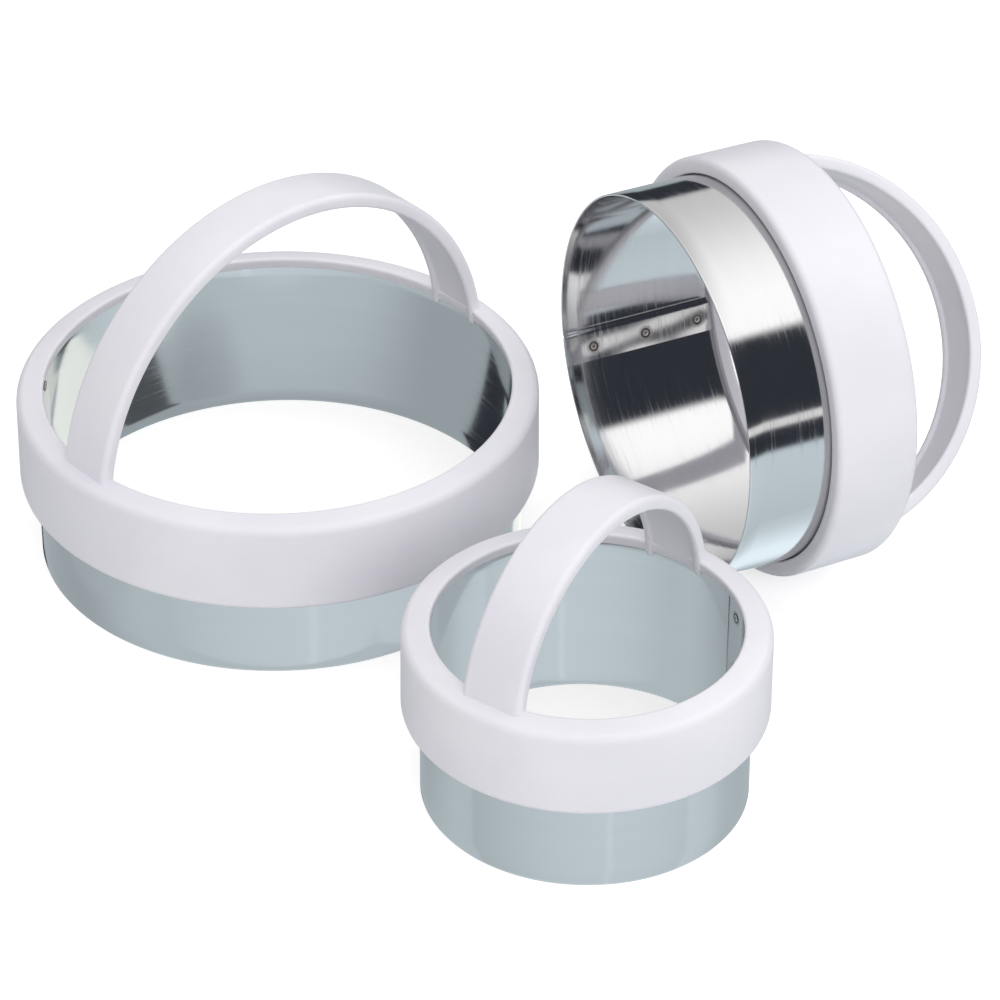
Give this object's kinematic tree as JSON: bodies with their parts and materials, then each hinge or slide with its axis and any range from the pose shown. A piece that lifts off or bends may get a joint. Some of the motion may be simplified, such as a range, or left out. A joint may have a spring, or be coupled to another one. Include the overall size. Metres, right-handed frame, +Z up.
{
  "type": "biscuit cutter set",
  "caption": "Graduated set of plain round biscuit cutters: rolled steel bands with spot-welded laps, in white moulded grips with arched handles.",
  "frame": {"origin": "middle of the set's bounding box, on the table", "axes": "+Z up; the large cutter is at the back left (-X, +Y), the small one at the front (-Y), and the medium one lies at the right (+X) with its cutting edge towards the large one"},
  "size_m": [0.1706, 0.1498, 0.0754],
  "materials": {
    "white_plastic": "satin white moulded plastic with a faint lilac tint",
    "steel": "bright rolled stainless strip, near-mirror along the roll, fine grain round the band",
    "weld": "heat-tinted resistance spot weld"
  },
  "bodies": {
    "large_cutter": {"large_grip": "white_plastic", "large_band": "steel", "large_welds": "weld"},
    "medium_cutter": {"medium_grip": "white_plastic", "medium_band": "steel", "medium_welds": "weld"},
    "small_cutter": {"small_grip": "white_plastic", "small_band": "steel", "small_welds": "weld"}
  },
  "joints": [
    {"name": "medium_lift", "type": "slide", "parent": "large_cutter", "child": "medium_cutter", "axis": [0, 0, 1], "range_m": [0, 0.12]},
    {"name": "small_lift", "type": "slide", "parent": "large_cutter", "child": "small_cutter", "axis": [0, 0, 1], "range_m": [0, 0.12]}
  ]
}
